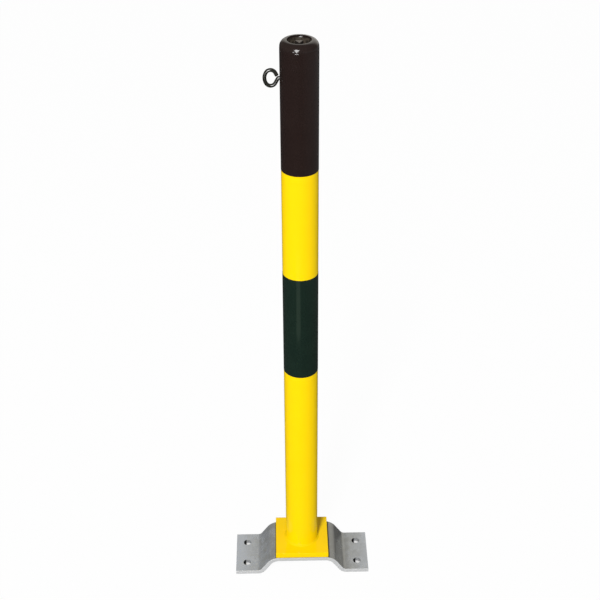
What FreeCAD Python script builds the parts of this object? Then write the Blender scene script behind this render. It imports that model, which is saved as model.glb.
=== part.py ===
import FreeCAD, Part
import math
import os
import re

import Sketcher

os.makedirs("parts", exist_ok=True)

doc = FreeCAD.newDocument("removable_bollard")

# Driving sizes, in millimetres and degrees
SIZES = {
    # bent base bracket of flat steel, a foot at each end and a raised crown between them
    "base_length": 255,
    "strip_thickness": 8,
    "crown_height": 40,
    "slope_angle": 55,
    "crown_bend_inset": 4.5,
    "crown_bend_radius": 17,
    "foot_bend_radius": 8,
    "anchor_inset": 21,
    "anchor_spread": 54,
    "anchor_radius": 7,
    # square foot plate with its two locating pins and its weld
    "plate_width": 100,
    "plate_thickness": 12,
    "plate_edge": 0.8,
    "pin_spread": 72,
    "pin_radius": 4,
    "pin_length": 15,
    "pin_reach": 7,
    "pin_chamfer": 1,
    "pin_play": 0.5,
    "weld_leg": 3.5,
    # post tube and its two dark bands
    "tube_radius": 30,
    "tube_wall": 2.5,
    "tube_length": 996,
    "tube_edge": 0.4,
    "upper_band_height": 202.5,
    "lower_band_height": 199.5,
    "band_gap": 192,
    "film_thickness": 0.2,
    # guide bush that centres the post in the crown
    "bush_radius": 13.9,
    "bush_reach": 6,
    "bush_flange_radius": 20,
    "bush_flange_thickness": 3,
    "bush_chamfer": 1.5,
    "bush_play": 0.3,
    # head cap, with the sleeve and the bearing plate of the lock below it
    "cap_height": 11.5,
    "shoulder_radius": 10,
    "joint_chamfer": 0.4,
    "recess_radius": 18.75,
    "recess_depth": 24.5,
    "recess_rim": 0.5,
    "sleeve_play": 0.2,
    "bearing_lead": 1.5,
    "bearing_thickness": 6,
    "boss_radius": 9,
    "boss_length": 10,
    # lock spindle
    "triangle_side": 14.4,
    "triangle_corner": 1.2,
    "triangle_chamfer": 0.6,
    "triangle_depth": 2.5,
    "flange_radius": 9,
    "flange_thickness": 2.5,
    "shank_radius": 6,
    "square_width": 8,
    "square_corner_radius": 5,
    "groove_radius": 4.3,
    "collar_length": 2.4,
    "tail_radius": 4,
    "tail_length": 22,
    # rings and stops on the spindle
    "washer_thickness": 1,
    "disc_thickness": 3,
    "disc_radius": 15,
    "stop_circle": 12,
    "stop_radius": 2.5,
    "stop_play": 1,
    "stop_seat": 4,
    "stop_tip": 1.5,
    "quarter_turn": 90,
    "spring_thickness": 0.7,
    "spring_height": 1.5,
    "spring_radius": 8.5,
    "ring_thickness": 1,
    "ring_radius": 7.2,
    "ring_gap_angle": 70,
    # lock rod, hammer head and their cross pins
    "rod_radius": 7,
    "rod_chamfer": 0.8,
    "rod_end_radius": 5,
    "rod_gap": 1,
    "coupling_pin_radius": 2,
    "hammer_length": 48,
    "hammer_width": 18,
    "hammer_height": 14,
    "hammer_gap": 0.5,
    "hammer_pin_radius": 2.5,
    "slot_play": 1,
    # chain eye of bent round bar, with the nut inside the tube
    "eye_drop": 49,
    "eye_bar_radius": 3,
    "eye_reach": 13.7,
    "eye_half_width": 9.3,
    "eye_half_height": 12.7,
    "eye_end_bend": 8,
    "eye_neck_bend": 3.5,
    "eye_end_slope": 63,
    "eye_mouth": 3.6,
    "eye_thread": 12,
    "nut_across_flats": 10,
    "nut_thickness": 5,
    # clearances
    "running_play": 0.1,
    "seat_play": 0.05,
    "hole_play": 0.2,
}
sheet = doc.addObject("Spreadsheet::Sheet", "Sizes")
for row, (alias, size) in enumerate(SIZES.items(), start=1):
    sheet.set(f"A{row}", alias)
    sheet.set(f"B{row}", str(size))
    sheet.setAlias(f"B{row}", alias)
doc.recompute()

# Heights and places that follow from the sizes, as formulas of their names
CROWN_UNDERSIDE = "(crown_height - strip_thickness)"
PLATE_TOP = "(crown_height + plate_thickness)"
TUBE_TOP = f"({PLATE_TOP} + tube_length)"
TUBE_BORE = "(tube_radius - tube_wall)"
CAP_TOP = f"({TUBE_TOP} + cap_height)"
RECESS_FLOOR = f"({CAP_TOP} - recess_depth)"
SPINDLE_SEAT = f"({RECESS_FLOOR} + washer_thickness)"
SHANK_LENGTH = "(washer_thickness + bearing_thickness + boss_length + hole_play)"
GROOVE_TOP = f"({SHANK_LENGTH} + disc_thickness + spring_height)"
GROOVE_BOTTOM = f"({GROOVE_TOP} + ring_thickness + running_play)"
COLLAR_END = f"({GROOVE_BOTTOM} + collar_length)"
TAIL_END = f"({COLLAR_END} + tail_length)"
COUPLING_HEIGHT = f"({SPINDLE_SEAT} - {COLLAR_END} - tail_length / 2)"
HAMMER_TOP = f"({CROWN_UNDERSIDE} - hammer_gap)"
HAMMER_BOTTOM = f"({HAMMER_TOP} - hammer_height)"
ROD_TOP = f"({SPINDLE_SEAT} - {COLLAR_END} - rod_gap)"
EYE_HEIGHT = f"({TUBE_TOP} - eye_drop)"
STOP_OFFSET = "(stop_circle * cos(45))"


def sized(formula):
    """Spell a formula of size names the way the document's objects read the sheet."""
    return re.sub(r"[a-z_]+", lambda word: f"Sizes.{word[0]}" if word[0] in SIZES else word[0], formula)


def value(formula):
    """Work out a formula of size names as a number."""
    return float(sheet.evalExpression(formula))


# Sketches
def sketch_on(body, role, lift="0"):
    """Attach an empty sketch to one of the body's origin planes, lifted along the plane's normal."""
    plane = next(feature for feature in body.Origin.OriginFeatures if feature.Role == role)
    sketch = body.newObject("Sketcher::SketchObject", f"{body.Label}_sketch")
    sketch.AttachmentSupport = [(plane, "")]
    sketch.MapMode = "FlatFace"
    sketch.setExpression("AttachmentOffset.Base.z", sized(lift))
    return sketch


def bind_constraint(sketch, constraint, formula):
    """Add a dimension to a sketch and tie it to a formula of size names."""
    number = sketch.addConstraint(constraint)
    sketch.setExpression(f"Constraints[{number}]", sized(formula))


def fix_point(sketch, geometry, point, x, y):
    """Dimension one point of a sketch from the sketch's origin."""
    bind_constraint(sketch, Sketcher.Constraint("DistanceX", -1, 1, geometry, point, value(x)), x)
    bind_constraint(sketch, Sketcher.Constraint("DistanceY", -1, 1, geometry, point, value(y)), y)


def draw_outline(sketch, corners):
    """Draw a closed outline of straight runs through corners, each a pair of formulas."""
    points = [FreeCAD.Vector(value(x), value(y), 0) for x, y in corners]
    runs = [
        sketch.addGeometry(Part.LineSegment(start, end), False)
        for start, end in zip(points, points[1:] + points[:1])
    ]
    for run, following in zip(runs, runs[1:] + runs[:1]):
        sketch.addConstraint(Sketcher.Constraint("Coincident", run, 2, following, 1))
    for run, (x, y) in zip(runs, corners):
        fix_point(sketch, run, 1, x, y)


def draw_rectangle(sketch, left, bottom, right, top):
    """Draw a rectangle between two opposite corners."""
    draw_outline(sketch, [(left, bottom), (right, bottom), (right, top), (left, top)])


def draw_circle(sketch, x, y, radius):
    """Draw a circle."""
    centre = FreeCAD.Vector(value(x), value(y), 0)
    circle = Part.Circle(centre, FreeCAD.Vector(0, 0, 1), value(radius))
    geometry = sketch.addGeometry(circle, False)
    fix_point(sketch, geometry, 3, x, y)
    bind_constraint(sketch, Sketcher.Constraint("Radius", geometry, value(radius)), radius)


def draw_slot(sketch, half_length, half_width):
    """Draw a slot with round ends, centred on the origin and long along the sketch's X."""
    reach = f"({half_length} - {half_width})"
    across = value(half_width)
    along = value(reach)
    ends = []
    for side, start in ((1, -math.pi / 2), (-1, math.pi / 2)):
        circle = Part.Circle(FreeCAD.Vector(side * along, 0, 0), FreeCAD.Vector(0, 0, 1), across)
        ends.append(sketch.addGeometry(Part.ArcOfCircle(circle, start, start + math.pi), False))
    sides = []
    for side in (1, -1):
        start = FreeCAD.Vector(side * along, side * across, 0)
        end = FreeCAD.Vector(-side * along, side * across, 0)
        sides.append(sketch.addGeometry(Part.LineSegment(start, end), False))
    for end, side, following in ((ends[0], sides[0], ends[1]), (ends[1], sides[1], ends[0])):
        sketch.addConstraint(Sketcher.Constraint("Tangent", end, 2, side, 1))
        sketch.addConstraint(Sketcher.Constraint("Tangent", side, 2, following, 1))
    fix_point(sketch, ends[0], 3, reach, "0")
    fix_point(sketch, ends[1], 3, f"-{reach}", "0")
    sketch.addConstraint(Sketcher.Constraint("Equal", ends[0], ends[1]))
    bind_constraint(sketch, Sketcher.Constraint("Radius", ends[0], across), half_width)


# Features
def new_body(label):
    """Start the body of one sub-part."""
    body = doc.addObject("PartDesign::Body", label)
    body.Label = label
    return body


def place(piece, x="0", y="0", z="0"):
    """Tie the place of a sub-part to formulas of size names."""
    piece.setExpression("Placement.Base.x", sized(x))
    piece.setExpression("Placement.Base.y", sized(y))
    piece.setExpression("Placement.Base.z", sized(z))


def pad(body, sketch, length, symmetric=False):
    """Raise a sketch into a solid along its normal."""
    feature = body.newObject("PartDesign::Pad", f"{body.Label}_pad")
    feature.Profile = sketch
    feature.SideType = "Symmetric" if symmetric else "One side"
    feature.setExpression("Length", sized(length))
    return feature


def cut_through(body, sketch, symmetric=True):
    """Cut a sketch through the whole body, both ways, or only against the sketch's normal."""
    feature = body.newObject("PartDesign::Pocket", f"{body.Label}_cut")
    feature.Profile = sketch
    feature.Type = "ThroughAll"
    feature.SideType = "Symmetric" if symmetric else "One side"
    return feature


def cut_up(body, sketch, length):
    """Cut a sketch into the body along the sketch's normal."""
    feature = body.newObject("PartDesign::Pocket", f"{body.Label}_cut")
    feature.Profile = sketch
    feature.Reversed = True
    feature.setExpression("Length", sized(length))
    return feature


def turn(body, sketch, angle="360 * 1 deg", symmetric=False):
    """Turn a sketch about its vertical axis."""
    feature = body.newObject("PartDesign::Revolution", f"{body.Label}_turn")
    feature.Profile = sketch
    feature.ReferenceAxis = (sketch, ["V_Axis"])
    feature.Midplane = symmetric
    feature.setExpression("Angle", sized(angle))
    return feature


def turned_piece(label, corners):
    """Make a sub-part by turning an outline of radius and height about the vertical axis."""
    body = new_body(label)
    sketch = sketch_on(body, "XZ_Plane")
    draw_outline(sketch, corners)
    turn(body, sketch)
    return body


def dress(body, kind, base, wanted, size_name, size):
    """Round or chamfer the edges of the last feature that a test picks out."""
    doc.recompute()
    edges = [f"Edge{number}" for number, edge in enumerate(base.Shape.Edges, start=1) if wanted(edge)]
    feature = body.newObject(f"PartDesign::{kind}", f"{body.Label}_{kind.lower()}")
    feature.Base = (base, edges)
    feature.setExpression(size_name, sized(size))
    return feature


def bends_at(x, z):
    """Test for the edges along Y that lie at one height and at one distance either side."""
    def wanted(edge):
        middle = edge.CenterOfGravity
        flat = abs(abs(middle.x) - value(x)) < 0.01 and abs(middle.z - value(z)) < 0.01
        return flat and abs(middle.y) < 0.01
    return wanted


def edges_at_height(z, radius=None):
    """Test for the edges that lie flat at one height, or the one of a given radius among them."""
    def wanted(edge):
        box = edge.BoundBox
        level = abs(box.ZMin - value(z)) < 0.01 and abs(box.ZMax - value(z)) < 0.01
        return level and (radius is None or abs(box.XMax - value(radius)) < 0.01)
    return wanted


# Base bracket
# One strip of flat steel, as wide as the foot plate, with two sharp-cornered steps whose bends are
# then rounded so that the strip keeps its thickness. The crown has a round hole for the guide bush,
# a slot for the hammer head and two holes for the locating pins, and each foot has two anchor holes.
CROWN_BEND_START = "(plate_width / 2 - crown_bend_inset)"
OUTER_CROWN_BEND = "(crown_bend_radius + strip_thickness)"
OUTER_FOOT_BEND = "(foot_bend_radius + strip_thickness)"
CROWN_CORNER = f"({CROWN_BEND_START} + {OUTER_CROWN_BEND} * tan(slope_angle / 2))"
SLOPE_RUN = f"({CROWN_UNDERSIDE} / tan(slope_angle))"
BEND_SHIFT = "(strip_thickness * tan(slope_angle / 2))"
FOOT_CORNER = f"({CROWN_CORNER} + {SLOPE_RUN})"
INNER_CROWN_CORNER = f"({CROWN_CORNER} - {BEND_SHIFT})"
INNER_FOOT_CORNER = f"({FOOT_CORNER} - {BEND_SHIFT})"

bracket = new_body("base_bracket")
strip_sketch = sketch_on(bracket, "XZ_Plane")
right_half = [
    (CROWN_CORNER, "crown_height"),
    (FOOT_CORNER, "strip_thickness"),
    ("base_length / 2", "strip_thickness"),
    ("base_length / 2", "0"),
    (INNER_FOOT_CORNER, "0"),
    (INNER_CROWN_CORNER, CROWN_UNDERSIDE),
]
left_half = [(f"-({x})", z) for x, z in reversed(right_half)]
draw_outline(strip_sketch, right_half + left_half)
strip = pad(bracket, strip_sketch, "plate_width", symmetric=True)
bends = (
    (CROWN_CORNER, "crown_height", OUTER_CROWN_BEND),
    (INNER_CROWN_CORNER, CROWN_UNDERSIDE, "crown_bend_radius"),
    (FOOT_CORNER, "strip_thickness", "foot_bend_radius"),
    (INNER_FOOT_CORNER, "0", OUTER_FOOT_BEND),
)
for x, z, radius in bends:
    strip = dress(bracket, "Fillet", strip, bends_at(x, z), "Radius", radius)
anchor_sketch = sketch_on(bracket, "XY_Plane")
for side_x in ("", "-"):
    for side_y in ("", "-"):
        anchor_x = f"{side_x}(base_length / 2 - anchor_inset)"
        draw_circle(anchor_sketch, anchor_x, f"{side_y}anchor_spread / 2", "anchor_radius")
cut_through(bracket, anchor_sketch)
socket_sketch = sketch_on(bracket, "XY_Plane")
draw_circle(socket_sketch, "0", "0", "bush_radius + bush_play")
for side in ("", "-"):
    draw_circle(socket_sketch, "0", f"{side}pin_spread / 2", "pin_radius + pin_play")
cut_through(bracket, socket_sketch)
slot_sketch = sketch_on(bracket, "XY_Plane")
draw_slot(slot_sketch, "(hammer_length / 2 + slot_play)", "(hammer_width / 2 + slot_play)")
cut_through(bracket, slot_sketch)

# Foot plate
# Square plate with broken edges that lies on the crown, with the bush hole through it and two blind
# pin holes below.
plate = new_body("foot_plate")
place(plate, z="crown_height")
plate_sketch = sketch_on(plate, "XY_Plane")
draw_rectangle(plate_sketch, "-plate_width / 2", "-plate_width / 2", "plate_width / 2", "plate_width / 2")
slab = pad(plate, plate_sketch, "plate_thickness")
dress(plate, "Chamfer", slab, lambda edge: True, "Size", "plate_edge")
bush_hole_sketch = sketch_on(plate, "XY_Plane")
draw_circle(bush_hole_sketch, "0", "0", "bush_radius + seat_play")
cut_through(plate, bush_hole_sketch)
pin_hole_sketch = sketch_on(plate, "XY_Plane")
for side in ("", "-"):
    draw_circle(pin_hole_sketch, "0", f"{side}pin_spread / 2", "pin_radius + seat_play")
cut_up(plate, pin_hole_sketch, "pin_length - pin_reach")

# Locating pins
# Turned pins pressed into the plate from below, with a chamfered tip that finds its hole in the crown.
for name, side in (("front", "-"), ("rear", "")):
    pin = turned_piece(
        f"locating_pin_{name}",
        [
            ("0", "0"),
            ("pin_radius - pin_chamfer", "0"),
            ("pin_radius", "pin_chamfer"),
            ("pin_radius", "pin_length"),
            ("0", "pin_length"),
        ],
    )
    place(pin, y=f"{side}pin_spread / 2", z="crown_height - pin_reach")

# Guide bush
# Its flange lies on the plate inside the tube, and its barrel passes the plate and centres in the crown.
BUSH_BOTTOM = "-(plate_thickness + bush_reach)"
guide_bush = turned_piece(
    "guide_bush",
    [
        ("rod_radius + running_play", BUSH_BOTTOM),
        ("bush_radius - bush_chamfer", BUSH_BOTTOM),
        ("bush_radius", f"{BUSH_BOTTOM} + bush_chamfer"),
        ("bush_radius", "0"),
        ("bush_flange_radius", "0"),
        ("bush_flange_radius", "bush_flange_thickness"),
        ("rod_radius + running_play", "bush_flange_thickness"),
    ],
)
place(guide_bush, z=PLATE_TOP)

# Post tube
# Round steel tube that stands on the plate, with one hole near its top for the chain eye. Its outer
# edge is rounded at the top.
tube = new_body("post_tube")
place(tube, z=PLATE_TOP)
tube_sketch = sketch_on(tube, "XY_Plane")
draw_circle(tube_sketch, "0", "0", "tube_radius")
draw_circle(tube_sketch, "0", "0", TUBE_BORE)
tube_wall = pad(tube, tube_sketch, "tube_length")
dress(tube, "Fillet", tube_wall, edges_at_height("tube_length", "tube_radius"), "Radius", "tube_edge")
tube_hole_sketch = sketch_on(tube, "YZ_Plane")
draw_circle(tube_hole_sketch, "0", "tube_length - eye_drop", "eye_bar_radius + hole_play")
cut_through(tube, tube_hole_sketch, symmetric=False)

# Foot weld
# Fillet weld all round the tube's foot.
foot_weld = turned_piece(
    "foot_weld",
    [("tube_radius", "0"), ("tube_radius + weld_leg", "0"), ("tube_radius", "weld_leg")],
)
place(foot_weld, z=PLATE_TOP)

# Dark bands
# Thin film sleeves round the tube. The upper one ends at the head cap and has a hole for the eye.
UPPER_BAND_FOOT = f"({TUBE_TOP} - upper_band_height)"
LOWER_BAND_FOOT = f"({UPPER_BAND_FOOT} - band_gap - lower_band_height)"
for name, foot in (("upper_band", UPPER_BAND_FOOT), ("lower_band", LOWER_BAND_FOOT)):
    band = new_body(name)
    place(band, z=foot)
    band_sketch = sketch_on(band, "XY_Plane")
    draw_circle(band_sketch, "0", "0", "tube_radius")
    draw_circle(band_sketch, "0", "0", "tube_radius + film_thickness")
    pad(band, band_sketch, f"{name}_height")
    if name == "upper_band":
        band_hole_sketch = sketch_on(band, "YZ_Plane")
        draw_circle(band_hole_sketch, "0", "upper_band_height - eye_drop", "eye_bar_radius + hole_play")
        cut_through(band, band_hole_sketch, symmetric=False)

# Head cap
# Turned ring with a round shoulder on the tube's top. Its bore is the mouth of the key recess.
head_cap = turned_piece(
    "head_cap",
    [
        ("tube_radius - joint_chamfer", "0"),
        ("tube_radius", "joint_chamfer"),
        ("tube_radius", "cap_height"),
        ("recess_radius", "cap_height"),
        ("recess_radius", "0"),
    ],
)
place(head_cap, z=TUBE_TOP)
cap_turn = dress(
    head_cap,
    "Fillet",
    head_cap.Tip,
    edges_at_height("cap_height", "tube_radius"),
    "Radius",
    "shoulder_radius",
)
dress(
    head_cap, "Chamfer", cap_turn, edges_at_height("cap_height", "recess_radius"), "Size", "recess_rim"
)

# Lock sleeve
# Thick ring inside the tube, between the head cap and the bearing plate. Its bore goes on with the
# recess.
SLEEVE_RADIUS = f"({TUBE_BORE} - sleeve_play)"
lock_sleeve = new_body("lock_sleeve")
place(lock_sleeve, z=RECESS_FLOOR)
sleeve_sketch = sketch_on(lock_sleeve, "XY_Plane")
draw_circle(sleeve_sketch, "0", "0", SLEEVE_RADIUS)
draw_circle(sleeve_sketch, "0", "0", "recess_radius")
pad(lock_sleeve, sleeve_sketch, "recess_depth - cap_height")

# Bearing plate
# Turned disc that closes the recess below, with the bearing boss of the spindle and a lead at its
# lower edge. The stop pin has a blind seat in its underside.
SPINDLE_BORE = "shank_radius + running_play"
bearing = turned_piece(
    "bearing_plate",
    [
        (SPINDLE_BORE, "0"),
        (SPINDLE_BORE, "-(bearing_thickness + boss_length)"),
        ("boss_radius", "-(bearing_thickness + boss_length)"),
        ("boss_radius", "-bearing_thickness"),
        (f"{SLEEVE_RADIUS} - bearing_lead", "-bearing_thickness"),
        (SLEEVE_RADIUS, "bearing_lead - bearing_thickness"),
        (SLEEVE_RADIUS, "0"),
    ],
)
place(bearing, z=RECESS_FLOOR)
stop_seat_sketch = sketch_on(bearing, "XY_Plane", lift="-bearing_thickness")
draw_circle(stop_seat_sketch, f"-{STOP_OFFSET}", f"-{STOP_OFFSET}", "stop_radius + seat_play")
cut_up(bearing, stop_seat_sketch, "stop_seat")

# Stop pin
# Plain pin in the bearing plate that reaches down through the notch of the stop disc.
STOP_PIN_LENGTH = "(stop_seat + boss_length + hole_play + disc_thickness + stop_tip)"
stop_pin = doc.addObject("Part::Cylinder", "stop_pin")
stop_pin.Label = "stop_pin"
stop_pin.setExpression("Radius", sized("stop_radius"))
stop_pin.setExpression("Height", sized(STOP_PIN_LENGTH))
STOP_PIN_FOOT = f"({RECESS_FLOOR} - bearing_thickness + stop_seat - {STOP_PIN_LENGTH})"
place(stop_pin, x=f"-{STOP_OFFSET}", y=f"-{STOP_OFFSET}", z=STOP_PIN_FOOT)

# Spindle washer
# Flat washer on the recess's floor, under the spindle's flange.
spindle_washer = doc.addObject("Part::Cut", "spindle_washer")
spindle_washer.Label = "spindle_washer"
washer_disc = doc.addObject("Part::Cylinder", "washer_disc")
washer_disc.setExpression("Radius", sized("flange_radius"))
washer_disc.setExpression("Height", sized("washer_thickness"))
washer_bore = doc.addObject("Part::Cylinder", "washer_bore")
washer_bore.setExpression("Radius", sized(SPINDLE_BORE))
washer_bore.setExpression("Height", sized("washer_thickness"))
spindle_washer.Base = washer_disc
spindle_washer.Tool = washer_bore
place(spindle_washer, z=RECESS_FLOOR)

# Key spindle
# Turned from bar: flange, bearing shank, collar with the ring groove and a tail for the rod. Its head
# is milled to a triangle for the key, and the collar to a square for the stop disc. Zero height is
# the underside of the flange.
spindle = new_body("key_spindle")
place(spindle, z=SPINDLE_SEAT)
spindle_sketch = sketch_on(spindle, "XZ_Plane")
draw_outline(
    spindle_sketch,
    [
        ("0", "flange_thickness"),
        ("0", f"-{TAIL_END}"),
        ("tail_radius", f"-{TAIL_END}"),
        ("tail_radius", f"-{COLLAR_END}"),
        ("square_corner_radius", f"-{COLLAR_END}"),
        ("square_corner_radius", f"-{GROOVE_BOTTOM}"),
        ("groove_radius", f"-{GROOVE_BOTTOM}"),
        ("groove_radius", f"-{GROOVE_TOP}"),
        ("square_corner_radius", f"-{GROOVE_TOP}"),
        ("square_corner_radius", f"-{SHANK_LENGTH}"),
        ("shank_radius", f"-{SHANK_LENGTH}"),
        ("shank_radius", "0"),
        ("flange_radius", "0"),
        ("flange_radius", "flange_thickness"),
    ],
)
turn(spindle, spindle_sketch)
square_sketch = sketch_on(spindle, "XY_Plane", lift=f"-{COLLAR_END}")
draw_circle(square_sketch, "0", "0", "flange_radius")
draw_rectangle(square_sketch, "-square_width / 2", "-square_width / 2", "square_width / 2", "square_width / 2")
cut_up(spindle, square_sketch, f"{COLLAR_END} - {SHANK_LENGTH}")
TRIANGLE_TOP = f"({CAP_TOP} - triangle_depth - {SPINDLE_SEAT})"
triangle_sketch = sketch_on(spindle, "XY_Plane", lift="flange_thickness")
draw_outline(
    triangle_sketch,
    [
        ("0", "-triangle_side / sqrt(3)"),
        ("triangle_side / 2", "triangle_side / sqrt(12)"),
        ("-triangle_side / 2", "triangle_side / sqrt(12)"),
    ],
)
triangle = pad(spindle, triangle_sketch, f"{TRIANGLE_TOP} - flange_thickness")


def triangle_corners(edge):
    """Test for the upright corner edges of the triangular head."""
    box = edge.BoundBox
    return box.ZMax - box.ZMin > value(f"{TRIANGLE_TOP} - flange_thickness") - 0.01 and box.ZMin > 0.01


triangle = dress(spindle, "Fillet", triangle, triangle_corners, "Radius", "triangle_corner")
dress(spindle, "Chamfer", triangle, edges_at_height(TRIANGLE_TOP), "Size", "triangle_chamfer")
tail_hole_sketch = sketch_on(spindle, "XZ_Plane")
draw_circle(tail_hole_sketch, "0", f"-{COLLAR_END} - tail_length / 2", "coupling_pin_radius + seat_play")
cut_through(spindle, tail_hole_sketch)

# Stop disc
# Flat disc on the spindle's square, with a notch whose ends meet the stop pin a quarter turn apart.
stop_disc = new_body("stop_disc")
place(stop_disc, z=f"{SPINDLE_SEAT} - {SHANK_LENGTH} - disc_thickness")
hub_sketch = sketch_on(stop_disc, "XZ_Plane")
draw_rectangle(hub_sketch, "0", "0", "boss_radius", "disc_thickness")
turn(stop_disc, hub_sketch)
sector_sketch = sketch_on(stop_disc, "XZ_Plane")
draw_rectangle(sector_sketch, "shank_radius", "0", "disc_radius", "disc_thickness")
SECTOR_ANGLE = "(360 - quarter_turn - 2 * stop_play) * 1 deg - 2 * asin(stop_radius / stop_circle)"
turn(stop_disc, sector_sketch, SECTOR_ANGLE, symmetric=True)
disc_bore_sketch = sketch_on(stop_disc, "XY_Plane")
HALF_SQUARE_HOLE = "(square_width / 2 + seat_play)"
draw_rectangle(
    disc_bore_sketch, f"-{HALF_SQUARE_HOLE}", f"-{HALF_SQUARE_HOLE}", HALF_SQUARE_HOLE, HALF_SQUARE_HOLE
)
cut_through(stop_disc, disc_bore_sketch)

# Disc spring
# Conical spring washer between the stop disc and the retaining ring, which takes up the play.
SPRING_BORE = "square_corner_radius + running_play"
disc_spring = turned_piece(
    "disc_spring",
    [
        (SPRING_BORE, "0"),
        ("spring_radius", "spring_height - spring_thickness"),
        ("spring_radius", "spring_height"),
        (SPRING_BORE, "spring_thickness"),
    ],
)
place(disc_spring, z=f"{SPINDLE_SEAT} - {GROOVE_TOP}")

# Retaining ring
# Open ring sprung into the spindle's groove.
ring = new_body("retaining_ring")
place(ring, z=f"{SPINDLE_SEAT} - {GROOVE_TOP} - ring_thickness")
ring_sketch = sketch_on(ring, "XZ_Plane")
draw_rectangle(ring_sketch, "groove_radius + seat_play", "0", "ring_radius", "ring_thickness")
turn(ring, ring_sketch, "(360 - ring_gap_angle) * 1 deg", symmetric=True)

# Lock rod
# Long round bar down the middle of the tube. Its top is bored for the spindle's tail, and its end
# is turned down for the hammer head. Both joints are cross-pinned. Zero height is its lower end.
ROD_LENGTH = f"({ROD_TOP} - {HAMMER_BOTTOM})"
ROD_BORE_DEPTH = "(tail_length - rod_gap + running_play)"
rod = new_body("lock_rod")
place(rod, z=HAMMER_BOTTOM)
rod_sketch = sketch_on(rod, "XZ_Plane")
draw_outline(
    rod_sketch,
    [
        ("0", "0"),
        ("rod_end_radius", "0"),
        ("rod_end_radius", "hammer_height"),
        ("rod_radius", "hammer_height"),
        ("rod_radius", f"{ROD_LENGTH} - rod_chamfer"),
        ("rod_radius - rod_chamfer", ROD_LENGTH),
        ("tail_radius + seat_play", ROD_LENGTH),
        ("tail_radius + seat_play", f"{ROD_LENGTH} - {ROD_BORE_DEPTH}"),
        ("0", f"{ROD_LENGTH} - {ROD_BORE_DEPTH}"),
    ],
)
turn(rod, rod_sketch)
rod_hole_sketch = sketch_on(rod, "XZ_Plane")
draw_circle(rod_hole_sketch, "0", "hammer_height / 2", "hammer_pin_radius + seat_play")
draw_circle(
    rod_hole_sketch, "0", f"{COUPLING_HEIGHT} - {HAMMER_BOTTOM}", "coupling_pin_radius + seat_play"
)
cut_through(rod, rod_hole_sketch)

# Hammer head
# Oblong block with round ends that passes the slot and grips under the crown after a quarter turn.
hammer = new_body("hammer_head")
place(hammer, z=HAMMER_BOTTOM)
hammer_sketch = sketch_on(hammer, "XY_Plane")
draw_slot(hammer_sketch, "hammer_length / 2", "hammer_width / 2")
pad(hammer, hammer_sketch, "hammer_height")
hammer_bore_sketch = sketch_on(hammer, "XY_Plane")
draw_circle(hammer_bore_sketch, "0", "0", "rod_end_radius + seat_play")
cut_through(hammer, hammer_bore_sketch)
hammer_hole_sketch = sketch_on(hammer, "XZ_Plane")
draw_circle(hammer_hole_sketch, "0", "hammer_height / 2", "hammer_pin_radius + seat_play")
cut_through(hammer, hammer_hole_sketch)

# Cross pins
# Plain pins along Y, one through the rod and the spindle's tail, one through the hammer head and the rod.
ROD_PIN_LENGTH = "2 * (rod_radius - hole_play)"
cross_pins = (
    ("coupling_pin", "coupling_pin_radius", ROD_PIN_LENGTH, COUPLING_HEIGHT),
    ("hammer_pin", "hammer_pin_radius", "hammer_width", f"({HAMMER_BOTTOM} + hammer_height / 2)"),
)
for name, radius, length, height in cross_pins:
    cross_pin = doc.addObject("Part::Cylinder", name)
    cross_pin.Label = name
    cross_pin.setExpression("Radius", sized(radius))
    cross_pin.setExpression("Height", sized(length))
    cross_pin.Placement = FreeCAD.Placement(
        FreeCAD.Vector(), FreeCAD.Rotation(FreeCAD.Vector(1, 0, 0), -90)
    )
    place(cross_pin, y=f"-({length}) / 2", z=height)

# Eye nut
# Hexagon nut inside the tube, whose upright flats reach the round wall first.
NUT_FACE = f"(sqrt(pow({TUBE_BORE}; 2) - pow(nut_across_flats / 2; 2)) - seat_play)"
eye_nut = doc.addObject("Part::Cut", "eye_nut")
eye_nut.Label = "eye_nut"
nut_block = doc.addObject("Part::Prism", "nut_block")
nut_block.Polygon = 6
nut_block.setExpression("Circumradius", sized("nut_across_flats / sqrt(3)"))
nut_block.setExpression("Height", sized("nut_thickness"))
nut_bore = doc.addObject("Part::Cylinder", "nut_bore")
nut_bore.setExpression("Radius", sized("eye_bar_radius + seat_play"))
nut_bore.setExpression("Height", sized("nut_thickness"))
eye_nut.Base = nut_block
eye_nut.Tool = nut_bore
eye_nut.Placement = FreeCAD.Placement(FreeCAD.Vector(), FreeCAD.Rotation(FreeCAD.Vector(0, 1, 0), 90))
place(eye_nut, x=f"-{NUT_FACE}", z=EYE_HEIGHT)

# Chain eye
# Round bar that leaves the tube along -X, bends down at the neck and runs straight to the bottom bend
# of an upright loop. The loop goes on by a wide far bend and the top bend, and then straight down to
# the bar's cut end above the neck. X is measured from the tube's axis, outwards.
bar = value("eye_bar_radius")
half_width = value("eye_half_width")
half_height = value("eye_half_height")
end_bend = value("eye_end_bend")
neck_bend = value("eye_neck_bend")
end_slope = math.radians(value("eye_end_slope"))
wall = value("tube_radius")
reach = value("eye_reach")
thread_start = value(f"{NUT_FACE} - eye_thread")
eye_centre = wall + reach
end_centre = half_height - end_bend
far_bend = (end_centre**2 + half_width**2 - end_bend**2) / (2 * (half_width - end_bend))
far_centre = far_bend - half_width
join_angle = math.atan2(end_centre, far_centre)
neck_rise = neck_bend - end_centre
neck_slope = math.asin((neck_bend + end_bend) / math.hypot(reach, neck_rise)) - math.atan2(neck_rise, reach)


def bar_point(x, z, radius=0, angle=0):
    """A point of the bar's middle line, at an angle taken from the outward direction, upwards."""
    return FreeCAD.Vector(-(x + radius * math.cos(angle)), 0, z + radius * math.sin(angle))


def bar_arc(x, z, radius, start, end):
    """A bend of the bar's middle line about a centre."""
    points = [bar_point(x, z, radius, angle) for angle in (start, (start + end) / 2, end)]
    return Part.Arc(*points).toShape()


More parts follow.
